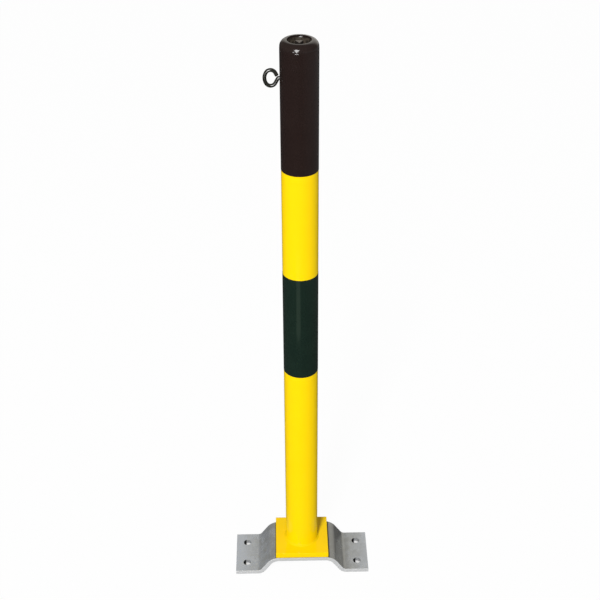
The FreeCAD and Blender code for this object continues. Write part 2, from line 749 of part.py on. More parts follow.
neck_end = math.pi / 2 - neck_slope
bottom_start = math.pi + neck_end
top_end = math.pi / 2 + end_slope
run_start = bar_point(eye_centre, end_centre, end_bend, top_end)
mouth = value("eye_mouth")
run_end = run_start + FreeCAD.Vector((run_start.z - mouth) / math.tan(end_slope), 0, mouth - run_start.z)
middle_line = Part.Wire(
    [
        Part.LineSegment(bar_point(thread_start, 0), bar_point(wall, 0)).toShape(),
        bar_arc(wall, -neck_bend, neck_bend, math.pi / 2, neck_end),
        Part.LineSegment(
            bar_point(wall, -neck_bend, neck_bend, neck_end),
            bar_point(eye_centre, -end_centre, end_bend, bottom_start),
        ).toShape(),
        bar_arc(eye_centre, -end_centre, end_bend, bottom_start, 2 * math.pi - join_angle),
        bar_arc(eye_centre - far_centre, 0, far_bend, -join_angle, join_angle),
        bar_arc(eye_centre, end_centre, end_bend, join_angle, top_end),
        Part.LineSegment(run_start, run_end).toShape(),
    ]
)
section = Part.Wire(
    [Part.Circle(FreeCAD.Vector(-thread_start, 0, 0), FreeCAD.Vector(1, 0, 0), bar).toShape()]
)
chain_eye = doc.addObject("Part::Feature", "chain_eye")
chain_eye.Label = "chain_eye"
chain_eye.Shape = middle_line.makePipeShell([section], True, True)
place(chain_eye, z=EYE_HEIGHT)

# Every sub-part, in the order in which the bollard is put together
SUBPARTS = (
    "base_bracket",
    "foot_plate",
    "locating_pin_front",
    "locating_pin_rear",
    "guide_bush",
    "post_tube",
    "foot_weld",
    "upper_band",
    "lower_band",
    "head_cap",
    "lock_sleeve",
    "bearing_plate",
    "stop_pin",
    "spindle_washer",
    "key_spindle",
    "stop_disc",
    "disc_spring",
    "retaining_ring",
    "lock_rod",
    "coupling_pin",
    "hammer_head",
    "hammer_pin",
    "eye_nut",
    "chain_eye",
)

doc.recompute()
failed = [item.Label for item in doc.Objects if {"Invalid", "Error"} & set(item.State)]
if failed:
    raise RuntimeError(f"these objects did not build: {', '.join(failed)}")
for name in SUBPARTS:
    shape = doc.getObjectsByLabel(name)[0].Shape
    if shape.isNull() or not shape.isValid() or len(shape.Solids) != 1:
        raise RuntimeError(f"{name} is not one valid solid")
for name in SUBPARTS:
    shape = doc.getObjectsByLabel(name)[0].Shape
    shape.exportStep(os.path.join("parts", f"{name}.step"))
    box = shape.BoundBox
    print(f"{name}: volume {shape.Volume:.1f}, {box.XMin:.2f} to {box.XMax:.2f} by "
          f"{box.YMin:.2f} to {box.YMax:.2f} by {box.ZMin:.2f} to {box.ZMax:.2f}")
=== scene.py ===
import math

import bmesh
import bpy
from mathutils import Matrix, Vector


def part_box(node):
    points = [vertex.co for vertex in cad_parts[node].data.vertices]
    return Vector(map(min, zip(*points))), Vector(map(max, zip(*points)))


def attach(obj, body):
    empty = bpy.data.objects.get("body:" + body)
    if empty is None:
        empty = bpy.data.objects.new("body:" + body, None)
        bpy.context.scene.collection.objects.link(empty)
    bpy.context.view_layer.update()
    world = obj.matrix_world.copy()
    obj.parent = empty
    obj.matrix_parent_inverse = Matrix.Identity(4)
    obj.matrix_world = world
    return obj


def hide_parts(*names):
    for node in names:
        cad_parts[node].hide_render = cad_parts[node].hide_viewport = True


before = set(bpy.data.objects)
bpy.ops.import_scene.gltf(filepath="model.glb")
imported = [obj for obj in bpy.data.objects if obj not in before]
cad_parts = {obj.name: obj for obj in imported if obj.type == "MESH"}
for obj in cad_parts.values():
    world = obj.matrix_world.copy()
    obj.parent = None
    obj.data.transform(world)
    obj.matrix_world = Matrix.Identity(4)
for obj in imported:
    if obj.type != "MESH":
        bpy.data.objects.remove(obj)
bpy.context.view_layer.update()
scene = bpy.context.scene


# Base bracket
# One strip of hot-dip galvanised flat steel, bent up to a crown between two feet. Its sheared edges
# are broken, four anchor holes go through the feet, and the crown takes the post's bush and lock.
MM = 0.001


def box_size(node):
    """The lowest corner, the highest corner and the sides of one node's box."""
    low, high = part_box(node)
    return low, high, high - low


def to_object(name, bm):
    """Turn a bmesh into an object of the scene."""
    made = bpy.data.objects.new(name, bpy.data.meshes.new(name))
    bm.to_mesh(made.data)
    bm.free()
    scene.collection.objects.link(made)
    return made


def keep_piece(name, bm, body, nodes, sharp_angle=40.0):
    """Turn a bmesh into a smooth-shaded piece that rides on a body and stands for its nodes.

    Edges sharper than an angle in degrees stay sharp, and large faces are shaded flat."""
    bmesh.ops.recalc_face_normals(bm, faces=bm.faces)
    piece = to_object(name, bm)
    piece.data.shade_smooth()
    piece.data.set_sharp_from_angle(angle=math.radians(sharp_angle))
    flatten = piece.modifiers.new("flat_faces", "WEIGHTED_NORMAL")
    flatten.keep_sharp = True
    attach(piece, body)
    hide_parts(*nodes)
    return piece


def round_corners(bm, corners, offset, segments):
    """Round corners of a flat outline, each by an offset along the two edges that meet there."""
    bmesh.ops.bevel(
        bm,
        geom=corners,
        offset=offset,
        segments=segments,
        profile=0.5,
        affect="VERTICES",
        material=-1,
    )


def round_edges(bm, edges, offset, segments):
    """Round edges of a solid."""
    bmesh.ops.bevel(
        bm,
        geom=edges,
        offset=offset,
        segments=segments,
        profile=0.5,
        affect="EDGES",
        material=-1,
    )


def outline(bm, corners):
    """Draw a closed outline through points given as x and z, in the plane y = 0."""
    points = [bm.verts.new((x, 0.0, z)) for x, z in corners]
    for first, second in zip(points, points[1:] + points[:1]):
        bm.edges.new((first, second))
    return points


def only(kind, items):
    """The vertices or the edges among mixed items."""
    return [item for item in items if isinstance(item, kind)]


bracket_high, bracket_size = box_size("base_bracket")[1:]
plate_low, plate_high, plate_size = box_size("foot_plate")
thickness = 8 * MM
crown_bend = 17 * MM
foot_bend = 8 * MM
slope = math.radians(55)
crown_bend_inset = 4.5 * MM
anchor_inset = 21 * MM
anchor_spread = 54 * MM
anchor_radius = 7 * MM
bush_hole_radius = 14.2 * MM
pin_hole_radius = 4.5 * MM
pin_spread = 72 * MM
slot_half_length = 25 * MM
slot_half_width = 10 * MM
sheared_edge = 0.6 * MM
hole_edge = 0.6 * MM
bend_segments = 10
steep = math.radians(60)
foot_cut = (-10 * MM, 20 * MM)
crown_cut = (20 * MM, 50 * MM)

half_bend = math.tan(slope / 2)
crown_x = plate_size.x / 2 - crown_bend_inset + (crown_bend + thickness) * half_bend
foot_x = crown_x + (bracket_size.z - thickness) / math.tan(slope)
end_x = bracket_high.x
crown_z = bracket_high.z
hole_x = end_x - anchor_inset
hole_y = anchor_spread / 2
bm = bmesh.new()
right_side = [
    (crown_x, crown_z, crown_bend + thickness),
    (foot_x, thickness, foot_bend),
    (end_x, thickness, 0.0),
    (end_x, 0.0, 0.0),
    (foot_x - thickness * half_bend, 0.0, foot_bend + thickness),
    (crown_x - thickness * half_bend, crown_z - thickness, crown_bend),
]
hat = right_side + [(-x, z, radius) for x, z, radius in reversed(right_side)]
hat_corners = outline(bm, [(x, z) for x, z, radius in hat])
for corner, (x, z, radius) in zip(hat_corners, hat):
    if radius:
        round_corners(bm, [corner], radius * half_bend, bend_segments)
side_face = bmesh.ops.contextual_create(bm, geom=bm.edges[:])["faces"][0]
bmesh.ops.translate(bm, verts=bm.verts, vec=(0.0, -bracket_size.y / 2, 0.0))
raised = bmesh.ops.extrude_face_region(bm, geom=[side_face])["geom"]
far_points = only(bmesh.types.BMVert, raised)
bmesh.ops.translate(bm, verts=far_points, vec=(0.0, bracket_size.y, 0.0))
bmesh.ops.recalc_face_normals(bm, faces=bm.faces)
sheared = [edge for edge in bm.edges if edge.calc_face_angle() > steep]
round_edges(bm, sheared, sheared_edge, 3)


def punch(name, bm, draw):
    """Cut the volumes that a function draws out of a bmesh, and return the cut bmesh."""
    cutter_bm = bmesh.new()
    draw(cutter_bm)
    bmesh.ops.recalc_face_normals(cutter_bm, faces=cutter_bm.faces)
    piece = to_object(name, bm)
    cutter = to_object("punch", cutter_bm)
    cut = piece.modifiers.new("cut", "BOOLEAN")
    cut.object = cutter
    cut.solver = "EXACT"
    bpy.context.view_layer.update()
    result = bmesh.new()
    result.from_object(piece, bpy.context.evaluated_depsgraph_get())
    bpy.data.objects.remove(cutter)
    bpy.data.objects.remove(piece)
    return result


def drill(bm, x, y, bottom, top, radius, segments=48):
    """Draw an upright cylinder."""
    bmesh.ops.create_cone(
        bm,
        cap_ends=True,
        segments=segments,
        radius1=radius,
        radius2=radius,
        depth=top - bottom,
        matrix=Matrix.Translation((x, y, (top + bottom) / 2)),
    )


def bracket_holes(bm):
    """The four anchor holes and the two pin holes."""
    for side_x in (-1, 1):
        for side_y in (-1, 1):
            drill(bm, side_x * hole_x, side_y * hole_y, *foot_cut, anchor_radius)
    for side in (-1, 1):
        drill(bm, 0.0, side * pin_spread / 2, *crown_cut, pin_hole_radius)


def lock_slot(bm):
    """The hammer head's slot with round ends, drawn as a flat outline and raised."""
    bottom, top = crown_cut
    points = [
        bm.verts.new((x, y, bottom))
        for x, y in (
            (-slot_half_length, -slot_half_width),
            (slot_half_length, -slot_half_width),
            (slot_half_length, slot_half_width),
            (-slot_half_length, slot_half_width),
        )
    ]
    bm.faces.new(points)
    round_corners(bm, points, slot_half_width - 0.01 * MM, 12)
    raised = bmesh.ops.extrude_face_region(bm, geom=bm.faces[:])["geom"]
    bmesh.ops.translate(bm, verts=only(bmesh.types.BMVert, raised), vec=(0.0, 0.0, top - bottom))


def bush_hole(bm):
    """The round hole of the guide bush."""
    drill(bm, 0.0, 0.0, *crown_cut, bush_hole_radius, 64)


for draw in (bracket_holes, lock_slot, bush_hole):
    bm = punch("galvanised_strip", bm, draw)
bmesh.ops.remove_doubles(bm, verts=bm.verts, dist=0.005 * MM)
rims = []
for edge in bm.edges:
    if len(edge.link_faces) != 2 or edge.calc_face_angle() < steep:
        continue
    middle = (edge.verts[0].co + edge.verts[1].co) / 2
    if math.hypot(abs(middle.x) - hole_x, abs(middle.y) - hole_y) < anchor_radius + 0.1 * MM:
        rims.append(edge)
round_edges(bm, rims, hole_edge, 2)
bracket = keep_piece("galvanised_bracket", bm, "base", ["base_bracket"])


def new_material(name, colour, roughness, specular, metallic=0.0):
    """A Principled material whose plain numbers are set on the shader's own sockets."""
    material = bpy.data.materials.new(name)
    material.use_nodes = True
    shader = material.node_tree.nodes["Principled BSDF"]
    shader.inputs["Base Color"].default_value = (*colour, 1.0)
    shader.inputs["Roughness"].default_value = roughness
    shader.inputs["Specular IOR Level"].default_value = specular
    shader.inputs["Metallic"].default_value = metallic
    return material, material.node_tree, shader


def add_node(tree, kind, settings=None, **inputs):
    """Add a node, set it up, and fill or link its inputs, named with underscores for spaces."""
    node = tree.nodes.new(kind)
    for key, setting in (settings or {}).items():
        setattr(node, key, setting)
    for key, source in inputs.items():
        socket = node.inputs[key.replace("_", " ")]
        if isinstance(source, bpy.types.NodeSocket):
            tree.links.new(source, socket)
        else:
            socket.default_value = source
    return node


def start_group(name, inputs, outputs):
    """A node group with named values going in and coming out, and the nodes that hold them."""
    group = bpy.data.node_groups.new(name, "ShaderNodeTree")
    for direction, titles in (("INPUT", inputs), ("OUTPUT", outputs)):
        for title in titles:
            group.interface.new_socket(name=title, in_out=direction, socket_type="NodeSocketFloat")
    return group, group.nodes.new("NodeGroupInput"), group.nodes.new("NodeGroupOutput")


def sized_noise(tree, size, detail, roughness):
    """Noise on Object coordinates, as a value about 0.5, with spots of a linked size."""
    place = add_node(tree, "ShaderNodeTexCoord").outputs["Object"]
    scale = add_node(tree, "ShaderNodeMath", {"operation": "DIVIDE"})
    scale.inputs[0].default_value = 1.0
    tree.links.new(size, scale.inputs[1])
    noise = add_node(tree, "ShaderNodeTexNoise", Vector=place, Detail=detail, Roughness=roughness)
    tree.links.new(scale.outputs[0], noise.inputs["Scale"])
    return noise.outputs["Fac"]


def mottling_group():
    """Cloudy patches and fine grain."""
    group, given, out = start_group("mottling", ["Patch size", "Grain size"], ["Patches", "Grain"])
    patches = sized_noise(group, given.outputs["Patch size"], 3.0, 0.6)
    grain = sized_noise(group, given.outputs["Grain size"], 2.0, 0.6)
    group.links.new(patches, out.inputs["Patches"])
    group.links.new(grain, out.inputs["Grain"])
    return group


mottling = mottling_group()


def mottled(tree, patch_size, grain_size):
    """Place the mottling in a material and return its patches and grain."""
    group = {"node_tree": mottling}
    node = add_node(tree, "ShaderNodeGroup", group, Patch_size=patch_size, Grain_size=grain_size)
    return node.outputs["Patches"], node.outputs["Grain"]


def blend_colours(tree, mask, first, second):
    """Mix two colours, each a node's or three plain numbers, by a mask."""
    mix = add_node(tree, "ShaderNodeMix", {"data_type": "RGBA"})
    tree.links.new(mask, mix.inputs["Factor"])
    for name, colour in (("A", first), ("B", second)):
        if isinstance(colour, bpy.types.NodeSocket):
            tree.links.new(colour, mix.inputs[name])
        else:
            mix.inputs[name].default_value = (*colour, 1.0)
    return mix.outputs["Result"]


def spread(tree, source, low, high, to_low=0.0, to_high=1.0):
    """Stretch a value from one range to another, clamped."""
    node = add_node(
        tree,
        "ShaderNodeMapRange",
        {"clamp": True},
        Value=source,
        From_Min=low,
        From_Max=high,
        To_Min=to_low,
        To_Max=to_high,
    )
    return node.outputs["Result"]


def combine(tree, operation, first, second):
    """Work out one value from two, by a sum, a product or another operation."""
    node = add_node(tree, "ShaderNodeMath", {"operation": operation})
    tree.links.new(first, node.inputs[0])
    tree.links.new(second, node.inputs[1])
    return node.outputs[0]


def folded_place(tree, place):
    """Mirror a place into one quarter of the bracket, since its four quarters are alike."""
    folded = add_node(tree, "ShaderNodeVectorMath", {"operation": "ABSOLUTE"})
    tree.links.new(place, folded.inputs[0])
    return folded.outputs["Vector"]


def anchor_hole_group():
    """A mask round each anchor hole's axis, full to one radius and gone at a second, and the part
    of it over the hole's left third, which takes painted shade."""
    group, given, out = start_group("anchor_hole", ["Full to", "Gone at"], ["Hole", "Painted shade"])
    place = add_node(group, "ShaderNodeTexCoord").outputs["Object"]
    flat = add_node(group, "ShaderNodeVectorMath", {"operation": "MULTIPLY"})
    group.links.new(folded_place(group, place), flat.inputs[0])
    flat.inputs[1].default_value = (1.0, 1.0, 0.0)
    distance = add_node(group, "ShaderNodeVectorMath", {"operation": "DISTANCE"})
    group.links.new(flat.outputs["Vector"], distance.inputs[0])
    distance.inputs[1].default_value = (hole_x, hole_y, 0.0)
    radii = (given.outputs["Full to"], given.outputs["Gone at"])
    hole = spread(group, distance.outputs["Value"], *radii, 1.0, 0.0)
    along = add_node(group, "ShaderNodeSeparateXYZ", Vector=place).outputs["X"]
    axis = spread(group, along, -1 * MM, 1 * MM, -hole_x, hole_x)
    beside = combine(group, "SUBTRACT", along, axis)
    shade_edge = 4.8 * MM - anchor_radius
    soft = 0.7 * MM
    left = spread(group, beside, shade_edge - soft, shade_edge + soft, 1.0, 0.0)
    group.links.new(hole, out.inputs["Hole"])
    group.links.new(combine(group, "MULTIPLY", hole, left), out.inputs["Painted shade"])
    return group


anchor_hole = anchor_hole_group()
hole_shade = (0.02, 0.02, 0.02)


def anchor_hole_masks(tree, full_to, gone_at):
    """Place the anchor holes' masks in a material and return the hole's and the painted shade's."""
    group = {"node_tree": anchor_hole}
    node = add_node(tree, "ShaderNodeGroup", group, Full_to=full_to, Gone_at=gone_at)
    return node.outputs["Hole"], node.outputs["Painted shade"]


def roughen(tree, shader, height, strength, depth):
    """Let a value raise and sink the surface of a material."""
    bump = add_node(tree, "ShaderNodeBump", Strength=strength, Distance=depth, Height=height)
    tree.links.new(bump.outputs["Normal"], shader.inputs["Normal"])


def galvanised_material():
    """Dull zinc: patches, fine grain, pale sheared edges, feet paler towards their ends, painted
    shade on the right slope, a painted shade line beside the plate, and painted shade in the left
    part of each anchor hole."""
    dull_zinc = (0.46, 0.47, 0.455)
    bright_zinc = (0.605, 0.635, 0.67)
    fleck = (0.33, 0.335, 0.335)
    pale_zinc = (0.68, 0.725, 0.80)
    slope_shade = (0.25, 0.25, 0.235)
    sheared_zinc = (0.56, 0.568, 0.574)
    plate_side_shade = (0.030, 0.026, 0.008)
    bored_zinc = (0.34, 0.35, 0.36)
    side = bracket_size.y / 2
    plate_side = plate_size.x / 2

    material, tree, shader = new_material("galvanised_zinc", (0.52, 0.53, 0.53), 0.28, 0.4, 0.6)
    place = add_node(tree, "ShaderNodeTexCoord").outputs["Object"]
    along = add_node(tree, "ShaderNodeSeparateXYZ", Vector=place).outputs["X"]
    split = add_node(tree, "ShaderNodeSeparateXYZ", Vector=folded_place(tree, place))
    patches, grain = mottled(tree, 0.022, 0.0022)
    colour = blend_colours(tree, spread(tree, patches, 0.36, 0.62), dull_zinc, bright_zinc)
    colour = blend_colours(tree, spread(tree, grain, 0.38, 0.68, 0.0, 0.62), colour, fleck)
    # The feet grow paler towards their ends, the left one more.
    left_foot = spread(tree, along, -foot_x, 9 * MM - end_x, 0.0, 0.8)
    right_foot = spread(tree, along, foot_x + 8 * MM, end_x, 0.0, 0.5)
    feet = combine(tree, "ADD", left_foot, right_foot)
    colour = blend_colours(tree, feet, colour, pale_zinc)
    # Painted shade: the crown beside the plate and the right slope are darkened on the side away
    # from the key light.
    past_plate = spread(tree, along, plate_side - 2 * MM, plate_side + 1 * MM)
    down_slope = spread(tree, along, foot_x - 2 * MM, foot_x + 14 * MM, 0.78, 0.0)
    slope_shade_mask = combine(tree, "MULTIPLY", past_plate, down_slope)
    colour = blend_colours(tree, slope_shade_mask, colour, slope_shade)
    edge_mask = spread(tree, split.outputs["Y"], side - 0.9 * MM, side - 0.4 * MM)
    colour = blend_colours(tree, edge_mask, colour, sheared_zinc)
    # Painted shade: a dark line on the crown along each side of the plate, wider on the right,
    # where the plate shades it.
    outwards = spread(tree, split.outputs["X"], plate_side - 2 * MM, plate_side - 1 * MM)
    to_right = spread(tree, along, plate_side + 1.8 * MM, plate_side + 3.0 * MM, 1.0, 0.0)
    to_left = spread(tree, along, -plate_side - 1.9 * MM, -plate_side - 0.8 * MM)
    to_edge = spread(tree, split.outputs["Y"], side - 1.5 * MM, side - 0.7 * MM, 1.0, 0.0)
    plate_shade_mask = outwards
    for limit in (to_right, to_left, to_edge):
        plate_shade_mask = combine(tree, "MULTIPLY", plate_shade_mask, limit)
    colour = blend_colours(tree, plate_shade_mask, colour, plate_side_shade)
    wall = anchor_radius + 0.1 * MM
    hole_mask, painted_shade_mask = anchor_hole_masks(tree, wall, wall + 0.4 * MM)
    colour = blend_colours(tree, hole_mask, colour, bored_zinc)
    # Painted shade: the left part of each anchor hole's wall is darkened.
    colour = blend_colours(tree, painted_shade_mask, colour, hole_shade)
    tree.links.new(colour, shader.inputs["Base Color"])
    cut_mask = combine(tree, "MAXIMUM", edge_mask, hole_mask)
    plain = combine(tree, "MAXIMUM", cut_mask, plate_shade_mask)
    tree.links.new(spread(tree, plain, 0.0, 1.0, 0.6, 0.2), shader.inputs["Metallic"])
    smooth = spread(tree, patches, 0.3, 0.7, 0.34, 0.24)
    rough = combine(tree, "MAXIMUM", smooth, spread(tree, plain, 0.0, 1.0, 0.0, 0.6))
    tree.links.new(rough, shader.inputs["Roughness"])
    roughen(tree, shader, grain, 0.15, 0.4 * MM)
    return material


bracket.data.materials.append(galvanised_material())


# Foot plate
# Square steel plate with broken edges, welded to the tube and powder-coated with it in traffic
# yellow. A round hole takes the guide bush, and two blind holes below take the locating pins.
plate_edge = 1.0 * MM
plate_hole_radius = 13.95 * MM
blind_hole_radius = 4.05 * MM
blind_hole_depth = 8 * MM
past_face = 10 * MM
bm = bmesh.new()
bmesh.ops.create_cube(bm, size=1.0)
bmesh.ops.scale(bm, vec=plate_size, verts=bm.verts)
bmesh.ops.translate(bm, vec=(plate_low + plate_high) / 2, verts=bm.verts)
round_edges(bm, bm.edges[:], plate_edge, 4)


def plate_holes(bm):
    """The bush hole right through and the two blind pin holes."""
    bottom = plate_low.z - past_face
    drill(bm, 0.0, 0.0, bottom, plate_high.z + past_face, plate_hole_radius, 64)
    for side in (-1, 1):
        y = side * pin_spread / 2
        drill(bm, 0.0, y, bottom, plate_low.z + blind_hole_depth, blind_hole_radius)


bm = punch("slab", bm, plate_holes)
plate = keep_piece("coated_foot_plate", bm, "post", ["foot_plate"])


def coat_waves_group():
    """The faint waves of a sprayed or baked coat."""
    group, given, out = start_group("coat_waves", ["Wave size"], ["Waves"])
    waves = sized_noise(group, given.outputs["Wave size"], 1.0, 0.5)
    group.links.new(waves, out.inputs["Waves"])
    return group


coat_waves = coat_waves_group()


def orange_peel(tree, shader, strength, size=0.003):
    """Give a coat or a film its waves."""
    waves = add_node(tree, "ShaderNodeGroup", {"node_tree": coat_waves}, Wave_size=size)
    roughen(tree, shader, waves.outputs["Waves"], strength, 0.2 * MM)


def yellow_material(name, colour, shade, roughness=0.1, specular=0.2):
    """Traffic yellow powder coating, with faint clouds where it is thinner and a painted shade line
    along the plate's foot."""
    material, tree, shader = new_material(name, colour, roughness, specular)
    patches, grain = mottled(tree, 0.05, 0.0012)
    clouded = blend_colours(tree, spread(tree, patches, 0.35, 0.8, 0.0, 0.5), colour, shade)
    place = add_node(tree, "ShaderNodeTexCoord").outputs["Object"]
    height = add_node(tree, "ShaderNodeSeparateXYZ", Vector=place).outputs["Z"]
    # Painted shade: a dark line along the plate's lower edge, where it meets the bracket.
    painted_shade_mask = spread(tree, height, plate_low.z + 0.9 * MM, plate_low.z + 1.9 * MM, 1.0, 0.0)
    coat = blend_colours(tree, painted_shade_mask, clouded, (0.12, 0.095, 0.003))
    tree.links.new(coat, shader.inputs["Base Color"])
    rough = spread(tree, grain, 0.3, 0.7, roughness, roughness + 0.04)
    tree.links.new(rough, shader.inputs["Roughness"])
    orange_peel(tree, shader, 0.15)
    return material


# Painted shade: the plate's coat is a slightly darker copy of the tube's yellow coat.
shaded_plate_coat = yellow_material("shaded_plate_coat", (0.92, 0.61, 0.0015), (0.89, 0.575, 0.002))
plate.data.materials.append(shaded_plate_coat)


# Post tube
# Round steel tube, cut square at both ends and stood on the plate, with its outer top edge broken.
# Its end under the upper film wears the head's paint. The chain eye's shank fills the one hole in
# its wall, so that hole isn't cut here.
tube_low, tube_high, tube_size = box_size("post_tube")
tube_radius = tube_size.x / 2
tube_bore = tube_radius - 2.5 * MM
tube_edge = 0.4 * MM
round_steps = 144


def turn_profile(bm, steps):
    """Turn what is drawn in the plane y = 0 once round the upright axis and close its seam."""
    bmesh.ops.spin(
        bm,
        geom=bm.verts[:] + bm.edges[:],
        cent=(0.0, 0.0, 0.0),
        axis=(0.0, 0.0, 1.0),
        angle=math.tau,
        steps=steps,
        use_merge=True,
    )
    bmesh.ops.remove_doubles(bm, verts=bm.verts, dist=0.001 * MM)


def turned(points, rounding, steps=round_steps, arc_steps=6):
    """A turned bmesh of an outline of radius and height, with chosen corners rounded.

    rounding maps a corner's number to its offset along the two edges that meet there."""
    bm = bmesh.new()
    corners = outline(bm, points)
    for number, offset in rounding.items():
        round_corners(bm, [corners[number]], offset, arc_steps)
    turn_profile(bm, steps)
    return bm


bm = turned(
    [
        (tube_bore, tube_low.z),
        (tube_radius, tube_low.z),
        (tube_radius, tube_high.z),
        (tube_bore, tube_high.z),
    ],
    {2: tube_edge},
)
dark_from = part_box("upper_band")[0].z + 1 * MM
bmesh.ops.bisect_plane(
    bm,
    geom=bm.verts[:] + bm.edges[:] + bm.faces[:],
    plane_co=(0.0, 0.0, dark_from),
    plane_no=(0.0, 0.0, 1.0),
)
for face in bm.faces:
    face.material_index = int(face.calc_center_median().z > dark_from)
tube = keep_piece("coated_tube", bm, "post", ["post_tube"])
tube_coat = yellow_material("yellow_coat", (0.93, 0.635, 0.0015), (0.90, 0.60, 0.002))
tube.data.materials.append(tube_coat)


# Foot weld
# Fillet weld that joins the tube to the plate all round, with the slight waves of the welder's
# hand, softened by the coating.
weld_leg = box_size("foot_weld")[2].z
weld_root = tube_radius - 0.3 * MM
weld_foot = tube_low.z + 0.02 * MM
weld_hollow = 0.42 * weld_leg
weld_waves = 58
wave_share = 0.006
bm = turned(
    [
        (weld_root, weld_foot),
        (tube_radius + weld_leg, weld_foot),
        (tube_radius + weld_hollow, tube_low.z + weld_hollow),
        (tube_radius, tube_low.z + weld_leg),
        (weld_root, tube_low.z + weld_leg),
    ],
    {2: 0.35 * weld_leg},
    steps=weld_waves * 6,
    arc_steps=4,
)
for vert in bm.verts:
    from_axis = math.hypot(vert.co.x, vert.co.y)
    if from_axis > tube_radius + 0.1 * MM and vert.co.z > tube_low.z + 0.1 * MM:
        ripple = math.cos(weld_waves * math.atan2(vert.co.y, vert.co.x))
        vert.co.x *= 1.0 - wave_share * (1.0 + ripple)
        vert.co.y *= 1.0 - wave_share * (1.0 + ripple)
weld = keep_piece("coated_weld", bm, "post", ["foot_weld"], 60.0)
# Painted shade: the weld wears a darker copy of the tube's yellow coat.
shaded_weld_coat = yellow_material("shaded_weld_coat", (0.82, 0.56, 0.0015), (0.79, 0.525, 0.002), 0.4, 0.05)
weld.data.materials.append(shaded_weld_coat)


# Dark bands
# Two glossy wrap films round the tube, cut from sheet film and pressed on. The upper one is
# brown-black and thins out under the head cap, the middle one is a greenish black.
def clouded(tree, shader, patches, low, high, first, second):
    """Let a shader's colour run from one shade to another with the patches."""
    shade = blend_colours(tree, spread(tree, patches, low, high), first, second)
    tree.links.new(shade, shader.inputs["Base Color"])


def band(name, node, colour, shade, thinned=0.0):
    """One film sleeve with a soft lower edge, and an upper edge that may thin out."""
    low, high, size = box_size(node)
    outer = size.x / 2
    inner = tube_radius - 0.02 * MM
    thinned_height = 0.8 * MM
    soft_edge = 0.12 * MM
    bm = turned(
        [
            (inner, low.z),
            (outer, low.z),
            (outer, high.z - thinned_height),
            (outer - thinned, high.z),
            (inner, high.z),
        ],
        {1: soft_edge},
        arc_steps=8,
    )
    piece = keep_piece(name, bm, "post", [node], 12.0)
    material, tree, shader = new_material(name + "_film", colour, 0.1, 0.4)
    patches = mottled(tree, 0.03, 0.002)[0]
    clouded(tree, shader, patches, 0.3, 0.7, colour, shade)
    tree.links.new(spread(tree, patches, 0.3, 0.7, 0.08, 0.11), shader.inputs["Roughness"])
    orange_peel(tree, shader, 0.03, 0.004)
    piece.data.materials.append(material)


brown_black = (0.0152, 0.0087, 0.0076)
brown_shade = (0.0170, 0.0100, 0.0086)
green_black = (0.0066, 0.0156, 0.0112)
green_shade = (0.0086, 0.0190, 0.0132)
band("upper_wrap", "upper_band", brown_black, brown_shade, 0.2 * MM)
band("middle_wrap", "lower_band", green_black, green_shade)


# Head cap
# Turned steel ring with a round shoulder, set on the tube and painted like the upper band. Its bore
# is the mouth of the key recess, with a narrow ledge above the worn lower wall.
cap_low, cap_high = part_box("head_cap")
shoulder_radius = 10 * MM
recess_radius = 18.75 * MM
recess_rim = 0.5 * MM
joint_edge = 0.12 * MM
ledge_z = cap_high.z - 3.3 * MM
ledge_width = 0.4 * MM
ledge_height = 1.1 * MM
bm = turned(
    [
        (recess_radius - ledge_width, cap_low.z),
        (tube_radius, cap_low.z),
        (tube_radius, cap_high.z),
        (recess_radius, cap_high.z),
        (recess_radius, ledge_z + ledge_height),
        (recess_radius - ledge_width, ledge_z),
    ],
    {1: joint_edge, 2: shoulder_radius, 3: recess_rim},
    arc_steps=12,
)
for face in bm.faces:
    middle = face.calc_center_median()
    in_recess = math.hypot(middle.x, middle.y) < recess_radius
    face.material_index = int(in_recess and middle.z < ledge_z)
cap = keep_piece("painted_cap", bm, "post", ["head_cap"], 15.0)
cap_paint, tree, shader = new_material("cap_paint", (0.0170, 0.0104, 0.0092), 0.13, 0.5)
patches, grain = mottled(tree, 0.012, 0.0015)
clouded(tree, shader, patches, 0.3, 0.7, (0.0158, 0.0098, 0.0086), (0.0182, 0.0114, 0.0100))
tree.links.new(spread(tree, grain, 0.3, 0.7, 0.11, 0.16), shader.inputs["Roughness"])
orange_peel(tree, shader, 0.03)
recess_paint, tree, shader = new_material("recess_paint", (0.045, 0.035, 0.028), 0.4, 0.4)
patches = mottled(tree, 0.005, 0.0012)[0]
clouded(tree, shader, patches, 0.4, 0.6, (0.025, 0.020, 0.016), (0.078, 0.063, 0.048))
cap.data.materials.append(cap_paint)
cap.data.materials.append(recess_paint)
tube.data.materials.append(cap_paint)


# Chain eye
# Round steel bar, screwed through the tube's wall, bent down at its neck and once round an upright
# loop to a cut end just above the neck, then coated black.
bar_radius = 3 * MM
thread_length = 14 * MM
reach = 13.7 * MM
half_width = 9.3 * MM
half_height = 12.7 * MM
end_bend = 8 * MM
neck_bend = 3.5 * MM
end_slope = math.radians(63)
mouth = 3.6 * MM
cut_edge = 0.35 * MM
eye_z = tube_high.z - 49 * MM
eye_x = tube_radius + reach
end_centre = half_height - end_bend
far_bend = (end_centre**2 + half_width**2 - end_bend**2) / (2 * (half_width - end_bend))
far_centre = far_bend - half_width
join_angle = math.atan2(end_centre, far_centre)
neck_rise = neck_bend - end_centre
bends = neck_bend + end_bend
neck_slope = math.asin(bends / math.hypot(reach, neck_rise)) - math.atan2(neck_rise, reach)
neck_end = math.pi / 2 - neck_slope
neck_run = math.sqrt(reach**2 + neck_rise**2 - bends**2)
top_end = math.pi / 2 + end_slope
end_run = (end_centre + end_bend * math.sin(top_end) - mouth) / math.sin(end_slope)


